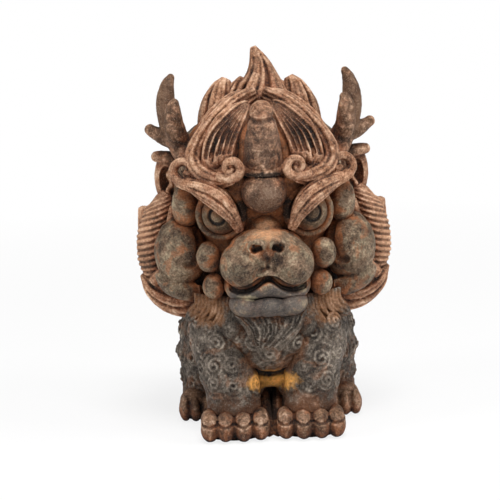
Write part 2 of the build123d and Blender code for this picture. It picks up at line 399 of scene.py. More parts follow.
def dress(piece, node):
    """Puts a piece in the place of its node, and lets it ride on the body."""
    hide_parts(node)
    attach(piece, BODY)
    pieces[node] = piece
    print(f"{piece.name}: {len(piece.data.polygons)} faces for {node}")


def make_plain(node, voxel=FINE, soften=4, waver=0.2, grain=0.12, extra=(), pressed=()):
    """A smooth form: clay from its solid, with any strands added and lines pressed in."""
    parts = [clay(node)]
    if extra:
        parts.append(tubes(node + "_strands", extra))
    dress(cast(node + "_cast", parts, voxel, soften, waver, grain, pressed), node)


def make_lock(name, strands, side=1, end="", voxel=FINE, soften=1):
    """A form made of strands alone, in the place of its solid. They are mirrored where side is -1."""
    lock = tubes(name + "_strands", mirrored(strands, side))
    dress(cast(name + "_cast" + end, [lock], voxel, soften), name + end)


# %% [markdown]
# ## The skull and its scalp
#
# The skull is one egg, and most of it is hair. Strands run from its top, under the crest, down all
# sides. A strand is half sunk, so only its round back shows.

# %% The skull
SCALP_STRANDS = 46
SCALP_STEPS = 9
FIRST_FALL = 0.12        # angles down from the top of the egg, where a strand starts and ends
FRONT_FALL = 1.3
BACK_FALL = 2.2
FRONT_COSINE = 0.2       # a strand this far to the front ends above the face
SWIRL = 0.16             # how far the strands sway round the egg, as an angle
SUNK = 0.1               # how deep the middle of a strand lies in the egg


def on_egg(centre, half, azimuth, fall, proud):
    """A place on an egg: azimuth round the Z axis from the front, fall down from the top."""
    out = Vector((math.sin(azimuth) * math.sin(fall), -math.cos(azimuth) * math.sin(fall), math.cos(fall)))
    return Vector([c + (h + proud) * o for c, h, o in zip(centre, half, out)])


def make_skull():
    """The egg, with strands from its top down all sides."""
    low, high = (Vector(corner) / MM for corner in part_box("skull"))
    centre, half = (low + high) / 2, (high - low) / 2
    dice = random.Random(4)
    strands = []
    for number in range(SCALP_STRANDS):
        azimuth = 2 * math.pi * (number + 0.5) / SCALP_STRANDS
        swirl = SWIRL * math.sin(3 * azimuth)
        last_fall = FRONT_FALL if math.cos(azimuth) > FRONT_COSINE else BACK_FALL
        places, sizes = [], []
        for step in range(SCALP_STEPS):
            share = step / (SCALP_STEPS - 1)
            fall = FIRST_FALL + (last_fall - FIRST_FALL) * share
            waver = swirl * share + 0.05 * math.sin(9 * share + number)
            places.append(on_egg(centre, half, azimuth + waver, fall, -SUNK))
            sizes.append((0.45 + 0.75 * math.sin(min(fall, 1.57))) * dice.uniform(0.9, 1.1))
        strands.append((places, sizes))
    scalp = tubes("scalp", strands)
    dress(cast("skull_skin", [clay("skull"), scalp], BROAD), "skull")


make_skull()

# %% [markdown]
# ## The face
#
# The muzzle is two soft lobes, so it is plain clay, softened more than the rest so that its lumps run
# together. The upper lip is a band that dips under each lobe. The mouth and the nostrils are pressed in
# where the skin shows from the front, and each nostril gets a low rim. The eyes are balls with an iris
# ring pressed in.

# %% The face
def circle(centre, axis, radius, count=90):
    """Points on a circle about an axis."""
    axis = Vector(axis).normalized()
    across = axis.cross(Vector((0, 0, 1))).normalized()
    up = across.cross(axis)
    turns = [2 * math.pi * number / count for number in range(count)]
    return [Vector(centre) + (across * math.cos(turn) + up * math.sin(turn)) * radius for turn in turns]


def one_side(points, side):
    """Points on the beast's left, or their mirror image."""
    return [Vector((side * x, y, z)) for x, y, z in points]


HALF_MOUTH = [(0, -25.4, 34.1), (1.6, -25.0, 33.5), (3.2, -24.0, 32.3), (4.9, -22.4, 31.3),
              (6.3, -20.8, 31.4), (7.6, -18.8, 32.2)]
HALF_UPPER_LIP = [(0, -25.2, 35.2), (1.4, -25.0, 34.7), (3.0, -24.2, 33.5), (4.4, -23.0, 32.9)]
PHILTRUM = [(0, -26.9, 38.8), (0, -26.6, 37.6), (0, -26.2, 36.2)]
NOSE_WING = [(0.5, -27, 40.0), (0.9, -27, 41.2), (2.0, -27, 41.7), (3.1, -26, 41.2), (3.7, -26, 40.2),
             (3.3, -26, 39.4)]
NOSTRIL = [(1.3, -27, 40.5), (1.8, -27, 40.4), (2.5, -26.5, 40.1)]
EYE = Vector((8.8, -16.5, 46.0))
GAZE = Vector((0.28, -1.0, 0.05)).normalized()
EYE_R = 4.1
IRIS_R = 1.7
COMMA = [(12.6, -13.6, 43.4), (12.6, -14.4, 40.4), (13.2, -15.2, 37.4), (14.6, -15.6, 35.6),
         (16.4, -15.6, 35.4)]    # the fold in a jowl
EAR_FOLD = [(17.6, -3.2, 54.2), (19.6, -3.4, 53.0), (18.9, -3.2, 51.0), (19.9, -3.2, 49.2),
            (19.4, -3.0, 47.4)]
IN_FRONT = -40           # a place in front of the whole beast


def from_front(points, *nodes):
    """The points moved on to whichever of the nodes shows there, seen from the front."""
    skins = []
    for node in nodes:
        form = clay(node)
        skins.append(surface_of(form))
        bpy.data.objects.remove(form)
    line = []
    for point in points:
        start = Vector((point.x, IN_FRONT, point.z)) * MM
        hits = [skin.ray_cast(start, BACKWARDS)[0] for skin in skins]
        seen = [hit / MM for hit in hits if hit is not None]
        line.append(min(seen, key=lambda hit: hit.y, default=point))
    return line


def both_halves(half):
    """A line through the middle plane, from its half on the beast's left."""
    return [*reversed(one_side(half[1:], -1)), *one_side(half, 1)]


mouth_line = from_front(smooth_line(both_halves(HALF_MOUTH), 140), "muzzle", "lower_lip")
wings, nostrils = [], []
for side, _ in SIDES:
    wing = from_front(smooth_line(one_side(NOSE_WING, side), 20), "nose", "muzzle")
    wings.append((wing, even_values([0.3, 0.45, 0.55, 0.55, 0.45, 0.25], 20)))
    nostrils.append(from_front(smooth_line(one_side(NOSTRIL, side), 24), "nose", "muzzle"))
upper_lip = smooth_line(both_halves(HALF_UPPER_LIP), 24), even_values([0.7, 1.0, 1.05, 1.05, 1.0, 0.7], 24)
philtrum = smooth_line(PHILTRUM, 20)
# The last value of each is how dark the pressed line is painted as shade; the mouth is painted darkest.
in_muzzle = [([mouth_line], 0.7, 0.5, 1.3), ([philtrum], 0.6, 0.35, 0.8), (nostrils, 1.0, 0.9, 1.6)]
in_nose = [([philtrum], 0.6, 0.3, 0.7), (nostrils, 0.8, 0.7, 1.6)]
in_lip = [([mouth_line], 1.25, 1.1, 2.4)]
make_plain("muzzle", soften=9, waver=0.3, grain=0.16, extra=[upper_lip], pressed=in_muzzle)
make_plain("nose", voxel=0.14, soften=3, waver=0.1, extra=wings, pressed=in_nose)
make_plain("lower_lip", voxel=0.16, soften=4, waver=0.1, pressed=in_lip)
make_plain("forehead_boss", soften=4, waver=0.3, grain=0.16)
for side, end in SIDES:
    gaze = Vector((side * GAZE.x, GAZE.y, GAZE.z))
    middle = Vector((side * EYE.x, EYE.y, EYE.z)) + gaze * math.sqrt(EYE_R ** 2 - IRIS_R ** 2)
    iris = [([circle(middle, gaze, IRIS_R)], 0.5, 0.45, 1.6)]
    make_plain("eye" + end, voxel=0.15, soften=2, waver=0, grain=0.08, pressed=iris)
    make_plain("eyelid" + end, voxel=0.18, soften=2, waver=0.15, grain=0.1)
    make_plain("temple" + end, soften=4)
    comma = smooth_line(one_side(COMMA, side), 70)
    make_plain("jowl" + end, soften=10, waver=0.4, grain=0.16, pressed=[([comma], 1.1, 0.6, 0.4)])
    make_plain("cheek_ball" + end, soften=4, waver=0.3, grain=0.16)
    make_plain("lip_ball" + end, soften=4, waver=0.3, grain=0.16)
    fold = smooth_line(one_side(EAR_FOLD, side), 16), [0.62] * 16
    roll_end = mirrored([rounded_end((19.2, -3.2, 56.4), (22.4, -2.0, 56.6), 1.2)], side)
    make_plain("ear" + end, soften=4, extra=[fold, *roll_end])

# %% The chin
CHIN_LINE = [(-7.0, -17.5, 28.8), (-5.4, -20.6, 27.7), (-3.0, -22.6, 27.4), (0.0, -23.4, 28.4),
             (3.0, -22.6, 27.4), (5.4, -20.6, 27.7), (7.0, -17.5, 28.8)]
chin_band = smooth_line(CHIN_LINE, 15), even_values([1.4, 2.0, 2.2, 2.0, 2.2, 2.0, 1.4], 15)
lip_line = [place + Vector((0, -1.0, 2.0)) for place in smooth_line(CHIN_LINE, 90)]
make_plain("chin", soften=5, extra=[chin_band], pressed=[([lip_line], 0.5, 0.4, 0.8)])

# %% [markdown]
# ## Brows and forelocks
#
# A brow is a bundle of strands that sweeps up from the bridge of the nose and ends in a curl. A
# forelock is a set of nested drops: strands that leave the parting, swing out, and turn in again to a
# curl beside the horn.

# %% Brows
BROW_LINE = [(5.2, -20.6, 42.9), (7.0, -21.0, 46.7), (9.6, -20.3, 49.8), (12.8, -18.2, 51.7),
             (16.2, -15.2, 52.6)]
BROW_WIDTHS = [0.8, 1.4, 2.1, 2.5, 2.3, 1.8, 1.3]
BROW_CURL = [(14.6, -16.4, 52.0), (17.0, -14.9, 52.8), (18.4, -14.2, 54.6), (17.6, -14.4, 56.5),
             (15.7, -15.0, 56.9), (14.4, -15.5, 55.5), (15.2, -15.4, 54.4), (16.2, -15.2, 55.0)]


def make_brow(side, end):
    """The brow, and the curl that it ends in."""
    strands = bundle(BROW_LINE, BROW_WIDTHS, 16, flat=0.85, twist=0.1, share=0.16, seed=7)
    strands.append((smooth_line(BROW_CURL, 20), even_values([1.4, 1.3, 1.1, 1.0, 0.95, 0.9, 0.8, 0.6], 20)))
    make_lock("brow", strands, side, end, voxel=0.16)


for side, end in SIDES:
    make_brow(side, end)

# %% Forelocks
DROP = [(0.9, -8.4, 70.4), (4.4, -9.4, 69.0), (8.2, -11.0, 66.2), (12.2, -12.6, 62.0), (14.3, -14.0, 57.4),
        (12.6, -16.8, 54.4), (9.2, -18.9, 53.2), (6.4, -20.6, 53.8)]
DROP_WIDTHS = [0.9, 1.3, 1.6, 1.8, 2.0, 2.0, 1.7, 1.2]
BESIDE_HORN = [(1.4, -10.4, 67.8), (2.2, -11.6, 66.2), (3.2, -13.0, 64.2), (4.2, -14.6, 61.8),
               (5.0, -16.2, 59.6), (5.6, -17.6, 58.0), (6.0, -18.6, 57.2), (6.4, -19.2, 57.0)]
NESTED = (0.2, 0.34, 0.48, 0.62, 0.76, 0.9)    # where the strands lie, from the rim to the horn
ON_SKIN = 5              # how many points of a strand lie on the forelock, before it turns in to the curl
FORE_CURL = [(9.4, -20.0, 54.3), (7.2, -21.2, 54.0), (5.2, -22.0, 54.6), (4.7, -22.2, 56.2),
             (5.8, -22.0, 57.6), (7.4, -21.7, 57.3), (7.8, -21.5, 55.9), (6.7, -21.8, 55.4),
             (6.1, -21.9, 56.2)]


def make_forelock(side, end):
    """Strands on the form with a groove between each two, and the curl that they end in."""
    form = clay("forelock" + end)
    skin = surface_of(form)
    strands, between = [], []
    for number in range(2 * len(NESTED) - 1):
        share = (NESTED[number // 2] + NESTED[(number + 1) // 2]) / 2
        line = [Vector(rim).lerp(Vector(inner), share) for rim, inner in zip(DROP, BESIDE_HORN)]
        front = [(side * p.x, p.y - 3, p.z) for p in line[:ON_SKIN]]
        free = one_side(line[ON_SKIN:], side)
        if number % 2:
            between.append(smooth_line(front, 40))
        else:
            course = smooth_line(laid(front, skin, 0.3) + free, 22)
            strands.append((course, even_values([0.3, 0.55, 0.72, 0.8, 0.78, 0.66, 0.4], 22)))
    lock = tubes("forelock", strands)
    grooves = [(between, 0.6, 0.5, 0.3)]
    dress(cast("forelock_cast" + end, [form, lock], 0.16, 1, pressed=grooves), "forelock" + end)
    curl = smooth_line(FORE_CURL, 24), even_values([1.1, 1.1, 0.9, 0.8, 0.7, 0.5], 24)
    make_lock("forelock_curl", [curl], side, end, voxel=0.16)


OUTER_LINE = [(0.9, -6.6, 69.2), (5.6, -8.2, 67.0), (10.4, -9.8, 62.2), (13.0, -11.4, 55.6)]


def make_crown_lock(side, end):
    """The lock outside the forelock, with a twisted rim between the two."""
    rim = bundle(DROP, DROP_WIDTHS, 7, flat=1.0, twist=0.3, share=0.3, seed=11, steps=18)
    outer = bundle(OUTER_LINE, [1.6, 2.8, 3.1, 3.0, 2.2], 14, flat=1.1, twist=0.12, share=0.18, seed=12)
    make_lock("crown_lock", rim + outer, side, end)


for side, end in SIDES:
    make_forelock(side, end)
    make_crown_lock(side, end)

# %% [markdown]
# ## Horns
#
# The horn and antlers are smooth and worn. They keep the shape of their solids, softened. The horn is
# filled out to a plain cone, and a ring is pressed into it under its tip. The tines get round ends.

# %% Horns
HORN_AXIS = [(0, -17.2, 54.8), (0, -18.3, 57.6), (0, -19.3, 60.6), (0, -20.2, 63.6), (0, -20.8, 66.0),
             (0, -21.0, 67.6)]
HORN_WIDTHS = [4.1, 4.05, 3.75, 3.2, 2.6, 1.6]
# The last value of the ring is how dark the painted shade in it is.
HORN_RING = (66.2, 2.7, 0.75, 0.45, 0.6)    # height, radius, width, depth, dirt


def make_horn():
    """The horn as a plain cone, with a ring pressed in under its tip."""
    cone = smooth_line(HORN_AXIS, 16), even_values(HORN_WIDTHS, 16)
    lean = Vector(HORN_AXIS[-1]) - Vector(HORN_AXIS[0])
    height, radius, width, depth, groove_shade = HORN_RING
    middle = Vector(HORN_AXIS[0]) + lean * ((height - HORN_AXIS[0][2]) / lean.z)
    ring = [circle(middle, lean, radius)], width, depth, groove_shade
    make_plain("horn", soften=6, waver=0.3, grain=0.16, extra=[cone], pressed=[ring])


make_horn()
make_plain("horn_collar", soften=3)
ANTLER_ENDS = (
    ((19.4, -3.6, 69.6), (18.2, -3.2, 73.5), 0.95),
    ((17.9, -7.6, 63.6), (17.7, -7.9, 68.6), 1.15),
    ((20.8, -4.0, 61.2), (23.4, -3.4, 62.7), 1.25),
)
for side, end in SIDES:
    caps = mirrored([rounded_end(*tine) for tine in ANTLER_ENDS], side)
    make_plain("antler" + end, soften=9, waver=0.35, grain=0.16, extra=caps)

# %% [markdown]
# ## Crest and mane
#
# Flames and locks are bundles again. Each follows the line of its solid, with more strands where the
# lock is wide. Whiskers hang from the jowls over the throat. The side mane keeps the clay of its solid,
# with ribs laid across it.

# %% Crest
CREST_LINE = [(0, -2.0, 62.0), (0.6, 0.8, 69.0), (0.6, 2.4, 74.2), (-0.7, 3.0, 78.6)]
CREST_WIDTHS = [8.0, 6.8, 4.9, 3.1, 1.9, 0.5]
FLAME_LINE = [(8.8, -1.0, 60.0), (9.0, 0.6, 65.2), (7.8, 2.2, 69.4), (6.6, 2.8, 72.0)]
SADDLE_LINE = [(6.0, -2.0, 61.0), (5.6, 0.4, 66.0), (4.2, 2.0, 69.8), (3.0, 2.6, 72.2)]

crest = bundle(CREST_LINE, CREST_WIDTHS, 18, flat=0.72, twist=0.12, share=0.13, seed=21)
make_lock("crest", crest, voxel=0.22)
flame = bundle(FLAME_LINE, [4.7, 4.1, 3.2, 2.3, 1.0], 13, flat=0.9, twist=0.15, share=0.18, seed=22)
saddle = bundle(SADDLE_LINE, [3.4, 3.0, 2.0, 0.8], 9, flat=0.9, twist=0.1, share=0.22, seed=23)
for side, end in SIDES:
    make_lock("crest_flame", flame + saddle, side, end)

# %% Mane
MANE_FLAP = [(20.6, 3.2, 30.6), (24.0, 4.6, 35.0), (25.0, 5.4, 40.0), (25.7, 5.0, 44.9)]
MANE_LOCK = [(13.0, -7.0, 26.6), (18.4, -5.8, 26.2), (23.2, -3.8, 28.2), (26.2, -1.8, 31.4)]
RIBS = 14
TOP_RIB = 48.6
RIB_GAP = 17.0 / (RIBS - 1)
THROAT_LOCK = [(6.6, -14.4, 28.0), (11.8, -14.4, 26.4), (15.2, -13.4, 24.6), (17.0, -12.4, 23.4)]
WHISKERS = 12
BEHIND_JOWL = (((18.2, -7.0, 46.5), (19.0, -7.2, 43.5), (19.6, -6.6, 40.5)),
               ((20.4, -6.4, 33.4), (22.6, -5.6, 31.4), (23.6, -5.0, 30.2)))    # closes the slits there


def make_mane_locks(side, end):
    """The flap behind the cheek, and the lock that sweeps out under it."""
    flap = bundle(MANE_FLAP, [1.6, 2.1, 2.2, 1.8, 1.0], 10, flat=1.6, twist=0.05, share=0.24, seed=31)
    lock = bundle(MANE_LOCK, [3.1, 3.6, 3.3, 2.3, 0.5], 12, flat=0.9, twist=0.12, share=0.2, seed=32)
    make_lock("mane_flap", flap, side, end)
    make_lock("mane_lock", lock, side, end)


def make_throat(side, end):
    """The lock on the throat, with a row of whiskers in front of it."""
    strands = bundle(THROAT_LOCK, [2.2, 2.6, 2.1, 0.5], 10, flat=0.8, twist=0.1, share=0.22, seed=33)
    dice = random.Random(34)
    for number in range(WHISKERS):
        share = number / (WHISKERS - 1)
        root = Vector((6.6 + 8.2 * share, -19.2 + 4.2 * share, 29.0 + 0.4 * share))
        drop = -6.2 - dice.uniform(0, 2.0) + 1.8 * share
        tip = root + Vector((3.4 - 1.2 * share, 0.8 + 1.2 * share, drop))
        bend = root.lerp(tip, 0.5) + Vector((-1.0, -1.6, 0.2))
        strands.append((smooth_line([root, bend, tip], 11), even_values([0.45, 0.48, 0.42, 0.2], 11)))
    make_lock("throat_lock", strands, side, end, voxel=0.16, soften=0)


def make_side_mane(side, end):
    """The ribbed band behind the cheek: ribs laid across it, and shallow grooves between them."""
    band = clay("side_mane" + end)
    skin = surface_of(band)
    ribs, between = [], []
    for number in range(2 * RIBS - 1):
        z = TOP_RIB - RIB_GAP * number / 2
        arc = [(18.0, -6.0, z + 0.8), (22.0, -6.5, z + 0.2), (27.0, -3.5, z - 0.6), (27.5, 1.0, z - 1.2),
               (24, 3.5, z)]
        if number % 2:
            between.append(laid(one_side(smooth_line(arc, 60), side), skin))
        else:
            line = laid(one_side(smooth_line(arc, 12), side), skin, -0.25)
            ribs.append((line, even_values([0.4, 0.62, 0.66, 0.55, 0.3], 12)))
    behind = [(one_side(line, side), [1.5] * len(line)) for line in BEHIND_JOWL]
    parts = [band, tubes("ribs", ribs + behind)]
    grooves = [(between, 0.4, 0.12, 0.12)]
    dress(cast("side_mane_cast" + end, parts, FINE, 1, pressed=grooves), "side_mane" + end)


for side, end in SIDES:
    make_mane_locks(side, end)
    make_throat(side, end)
    make_side_mane(side, end)

# %% Hair down the back
BACK_X = 7.2             # from one lock to the next
BACK_CURVE = 0.034       # how fast the locks fall back towards the sides


def make_back_lock(x, name, end=""):
    """A lock down the back of the head, x away from the middle plane."""
    hollow = BACK_CURVE * x * x
    line = [(0.55 * x, 7.0 - 0.4 * hollow, 64.0 - 0.2 * abs(x)), (0.95 * x, 14.8 - hollow, 54.5),
            (1.05 * x, 16.8 - hollow, 42.0), (1.0 * x, 21.6 - hollow, 31.0)]
    twist = 0.12 if x >= 0 else -0.12
    seed = 40 + round(abs(x))
    strands = bundle(line, [3.5, 4.8, 4.9, 4.1, 2.8, 0.6], 16, flat=0.9, twist=twist, share=0.2, seed=seed)
    make_lock(name, strands, end=end, voxel=COARSE)


make_back_lock(0, "back_lock")
for side, end in SIDES:
    make_back_lock(side * BACK_X, "back_lock_inner", end)
    make_back_lock(side * 2 * BACK_X, "back_lock_outer", end)

# %% Beard
BEARD_LINES = 33         # strands, with a groove between each two


def make_beard():
    """The beard's clay, with strands laid on it and a groove between each two."""
    form = clay("beard")
    skin = surface_of(form)
    dice = random.Random(61)
    strands, between = [], []
    for number in range(BEARD_LINES):
        share = number / (BEARD_LINES - 1) * 2 - 1
        reach = dice.uniform(0.75, 1.0)
        top = Vector((8.2 * share, -24, 27.8))
        upper = Vector((7.6 * share + 0.9, -26, 24.8))
        middle = Vector((5.6 * share + 1.0, -26, 22.0))
        tip = Vector((2.6 * share - 1.8, -25, 21.5 - 4.6 * reach))
        if number % 2:
            between.append(smooth_line([top, upper, middle, tip], 50))
            continue
        line = laid(smooth_line([top, upper, middle, tip], 14), skin, dice.uniform(0.15, 0.35))
        strands.append((line, even_values([0.35, 0.5, 0.5, 0.4, 0.2], 14)))
    parts = [form, tubes("beard_strands", strands)]
    grooves = [(between, 0.42, 0.35, 0.6)]
    dress(cast("beard_cast", parts, 0.15, 1, pressed=grooves), "beard")


make_beard()

# %% [markdown]
# ## Body
#
# The chest, shoulders and thighs are covered in curls, which stand for the scales of such a beast. A
# curl is a spiral strand. On the thighs the curls stand in rings. Elsewhere, rays shot in towards the
# body find where each curl sits and which way the skin faces there, so that one function covers every
# form. A plain band of belly shows between the forelegs.

# %% Body
CURL_GAP = 3.5           # least distance between the middles of two curls
CURL_R = 2.35
CHEST_CURL_R = 1.9
CURL_THICK = 0.42
CURL_RISE = 0.55         # how far the eye of a curl stands up
CURL_SUNK = 0.12
THIGH = (12.6, 5.0, 13.0)
THIGH_RADII = (6.4, 11.0, 12.6)
LOWEST_THIGH_CURL = 5
THIGH_CURLS = ((0, 1, 0), (29, 6, 0), (58, 11, 15))    # degrees off its side, how many, first turn


def thigh_spots(side):
    """The places of the large curls on a thigh, and the way each faces."""
    spots = []
    for off_side, count, first in THIGH_CURLS:
        for number in range(count):
            off, turn = math.radians(off_side), math.radians(first + number * 360 / count)
            out = Vector((math.cos(off), math.sin(off) * math.cos(turn), math.sin(off) * math.sin(turn)))
            place = Vector([middle + half * part for middle, half, part in zip(THIGH, THIGH_RADII, out)])
            facing = Vector([part / half for half, part in zip(THIGH_RADII, out)])
            if place.z > LOWEST_THIGH_CURL:
                place.x *= side
                facing.x *= side
                spots.append((place, facing))
    return spots


def curl_strands(place, normal, radius, skin, dice):
    """One curl: a low spiral that follows the skin and rises to its eye, inside a half ring."""
    hand = 1 if dice.random() < 0.5 else -1
    start = dice.uniform(0, 360)
    spiral = coil(place, normal, start, radius, 0.2, 2.3, CURL_THICK, hand, points=34)
    hoop = coil(place, normal, start + 70, radius + 0.75, radius + 0.6, 0.6, CURL_THICK, hand, points=12)
    out = normal.normalized()
    strands = []
    for (line, sizes), rise in ((spiral, CURL_RISE), (hoop, 0.0)):
        line = laid(line, skin)
        last = len(line) - 1
        lifted = [spot + out * (rise * number / last - CURL_SUNK) for number, spot in enumerate(line)]
        strands.append((lifted, sizes))
    return strands


BELLY_BAND = [(-5.8, -15.2, 12.2), (-2.9, -15.6, 11.2), (0, -15.8, 10.9), (2.9, -15.6, 11.2),
              (5.8, -15.2, 12.2)]
BELLY_WIDTHS = [3.4, 2.2, 1.9, 2.2, 3.4]
BELLY_CORNER = [(2.2, -15.9, 10.8), (2.4, -16.3, 9.2), (2.8, -16.5, 7.4)]    # rounds the gap to an arch
UNDER_CHEST = [(-4.6, -18, 14.0), (-2.4, -18, 13.0), (0, -18, 12.6), (2.4, -18, 13.0), (4.6, -18, 14.0)]
CHEST_EDGE = [(-5.2, -20.0, 13.4), (-1.8, -21.0, 12.6), (1.8, -21.0, 12.6), (5.2, -20.0, 13.4)]
RAYS = 6000              # tries at finding room for one more curl
RAY_LEVELS = (8.6, 27.5)
BARE_BELLY = 12.5        # below these heights, the belly and the rest stay without curls
BARE_LEGS = 10.5
FACING = 0.3             # least cosine between a ray and the skin that it may hit


def make_body():
    """The torso, forelegs and haunches, with the belly band and all the curls."""
    names = ["torso"] + [part + end for part in ("foreleg", "haunch") for _, end in SIDES]
    forms = {name: clay(name) for name in names}
    trees = {name: surface_of(obj) for name, obj in forms.items()}
    strands = {name: [] for name in names}
    dice = random.Random(5)
    strands["torso"].append((smooth_line(BELLY_BAND, 16), even_values(BELLY_WIDTHS, 16)))
    for side, _ in SIDES:
        corner = smooth_line(one_side(BELLY_CORNER, side), 8)
        strands["torso"].append((corner, even_values([1.7, 1.2, 0.6], 8)))
    taken = []
    for spot in CHEST_EDGE:
        place, normal, _, _ = trees["torso"].find_nearest(Vector(spot) * MM)
        strands["torso"] += curl_strands(place / MM, normal, CHEST_CURL_R, trees["torso"], dice)
        taken.append(place / MM)
    for side, end in SIDES:
        for place, normal in thigh_spots(side):
            strands["haunch" + end] += curl_strands(place, normal, CURL_R, trees["haunch" + end], dice)
            taken.append(place)
    for _ in range(RAYS):
        azimuth = math.radians(dice.uniform(0, 360))
        out = Vector((math.sin(azimuth), -math.cos(azimuth), 0.0))
        origin = (Vector((0, 0, dice.uniform(*RAY_LEVELS))) + out * 40) * MM
        hits = [(tree.ray_cast(origin, -out), name) for name, tree in trees.items()]
        hits = [(hit[3], hit[0] / MM, hit[1], name) for hit, name in hits if hit[0] is not None]
        if not hits:
            continue
        _, place, normal, name = min(hits, key=lambda found: found[0])
        crowded = any((place - other).length < CURL_GAP for other in taken)
        bare = place.z < (BARE_BELLY if name == "torso" and place.y < 0 else BARE_LEGS)
        if crowded or bare or normal.dot(out) < FACING:
            continue
        taken.append(place)
        strands[name] += curl_strands(place, normal, CURL_R * dice.uniform(0.8, 1.15), trees[name], dice)
    print("curls:", len(taken))
    # The line under the chest is pressed and painted dark, as the shade under the chest.
    edge = from_front(smooth_line(UNDER_CHEST, 60), "torso")
    for name, form in forms.items():
        curls = tubes(name + "_curls", strands[name])
        voxel, pressed = COARSE, ()
        if name == "torso":
            voxel, pressed = BROAD, [([edge], 0.9, 0.6, 1.3)]
        dress(cast(name + "_cast", [form, curls], voxel, 1, pressed=pressed), name)


make_body()

# %% Paws
TOES = (2.6, 6.2, 9.8, 13.0)
MIDDLE_TOE = 7.7         # the toes stand further back, the further they are from here
CLAW_R = 0.55
WEB = [(0.9, -23.5, 1.4), (0.9, -20.0, 2.4), (1.2, -16.5, 4.6), (1.6, -13.5, 7.6)]


def make_paw(side, end):
    """A front paw: toes with a crease and a claw each, and a web of iron on its inner side."""
    creases, strands = [], [(one_side(WEB, side), [1.3] * len(WEB))]
    for x in TOES:
        back = 0.22 * abs(x - MIDDLE_TOE)
        across = [(x - 1.6, -25.6 + back, 3.9), (x, -26.8 + back, 3.3), (x + 1.6, -25.6 + back, 3.9)]
        creases.append(smooth_line(one_side(across, side), 16))
        claw = one_side([(x, -26.9 + back, 2.6), (x, -27.1 + back, 1.5), (x, -26.7 + back, 0.7)], side)
        strands.append((smooth_line(claw, 6), even_values([0.3, CLAW_R, 0.35], 6)))
        toe = [(x, -21.5, 4.2), (x, -23.8, 4.0), (x, -25.2 + back, 2.8), (x, -25.2 + back, 1.2)]
        strands.append((smooth_line(one_side(toe, side), 10), even_values([1.6, 1.9, 1.85, 1.6], 10)))
    make_plain("forepaw" + end, voxel=0.22, soften=2, extra=strands, pressed=[(creases, 0.45, 0.3, 0.15)])


for side, end in SIDES:
    make_paw(side, end)
    make_plain("hind_paw" + end, soften=3)

# %% Tail
TAIL_LINE = [(0, 19.4, 3.5), (0, 23.5, 11), (0, 24.4, 20), (0.6, 22.4, 28.8)]
TUFT_WIDTHS = [2.1, 2.9, 2.4, 0.5]


def make_tail():
    """A tail laid up against the back, with a tuft on either side."""
    strands = bundle(TAIL_LINE, [3.0, 4.7, 4.5, 3.3, 0.6], 16, flat=0.66, twist=0.06, share=0.22, seed=51)
    for side in (-1, 1):
        wing = [(side * 2, 20, 6), (side * 5.6, 22.4, 12), (side * 6.8, 22.2, 18.5), (side * 5.4, 20.6, 23.8)]
        strands += bundle(wing, TUFT_WIDTHS, 12, flat=0.8, twist=0.06 * side, seed=52)
    make_lock("tail", strands, voxel=COARSE)


make_tail()

# %% [markdown]
# ## Shader maths in plain sums
#
# `Wire` wraps the output of a node, so that masks can be written as sums, such as `1 - mask`. `Finish`
# holds one material and adds any other node in one call.

# %% Shader maths
def maths(operation, turned=False):
    """A method that adds a maths node for a Wire; turned puts the Wire second."""
    def method(self, other):
        first, second = (other, self) if turned else (self, other)
        return self.finish.node("ShaderNodeMath", {"operation": operation}, {0: first, 1: second})
    return method


class Wire:
    """The output of a node, which can be used in a sum."""

    def __init__(self, finish, socket):
        self.finish = finish
        self.socket = socket

    __add__ = maths("ADD")
    __radd__ = maths("ADD", turned=True)
    __sub__ = maths("SUBTRACT")
    __rsub__ = maths("SUBTRACT", turned=True)
    __mul__ = maths("MULTIPLY")
    __rmul__ = maths("MULTIPLY", turned=True)
    __truediv__ = maths("DIVIDE")


class Finish:
    """A material, with its Principled shader."""

    def __init__(self, name):
        self.material = bpy.data.materials.new(name)
        self.material.use_nodes = True
        self.nodes = self.material.node_tree.nodes
        self.links = self.material.node_tree.links
        self.shader = self.nodes["Principled BSDF"]

    def node(self, kind, settings=None, inputs=None, out=0):
        """Adds a node: its settings first, then the values or wires of its sockets."""
        added = self.nodes.new(kind)
        for name, value in (settings or {}).items():
            setattr(added, name, value)
        for name, value in (inputs or {}).items():
            self.feed(added.inputs[name], value)
        return Wire(self, added.outputs[out])

    def feed(self, socket, value):
        """Gives a socket a wire, or else a plain value."""
        if isinstance(value, Wire):
            self.links.new(value.socket, socket)
        else:
            socket.default_value = value

    def ramp(self, value, stops):
        """A ramp of colours: each stop is (where, colour)."""
        ramp = self.nodes.new("ShaderNodeValToRGB")
        elements = ramp.color_ramp.elements
        while len(elements) < len(stops):
            elements.new(0.5)
        for element, (where, tone) in zip(elements, stops):
            element.position = where
            element.color = tone
        self.feed(ramp.inputs["Fac"], value)
        return Wire(self, ramp.outputs["Color"])

    def steps(self, value, *stops):
        """A ramp of numbers: each stop is (where, how much)."""
        return self.ramp(value, [(where, (much, much, much, 1)) for where, much in stops])

    def blend(self, share, under, over, mode="MIX"):
        """Two colours mixed by a share."""
        settings = {"data_type": "RGBA", "blend_type": mode, "clamp_factor": True}
        return self.node("ShaderNodeMix", settings, {0: share, 6: under, 7: over}, out=2)

    def noise(self, where, scale, detail=4.0, roughness=0.6, distortion=0.0):
        """Noise over a place in mm: scale is in waves per mm."""
        inputs = {"Vector": where, "Scale": scale, "Detail": detail, "Roughness": roughness,
                  "Distortion": distortion}
        return self.node("ShaderNodeTexNoise", {}, inputs)

    def patches(self, low, high, *noise):
        """Noise sharpened to patches: 0 where it is under low, and 1 where it is over high."""
        return self.steps(self.noise(*noise), (low, 0.0), (high, 1.0))
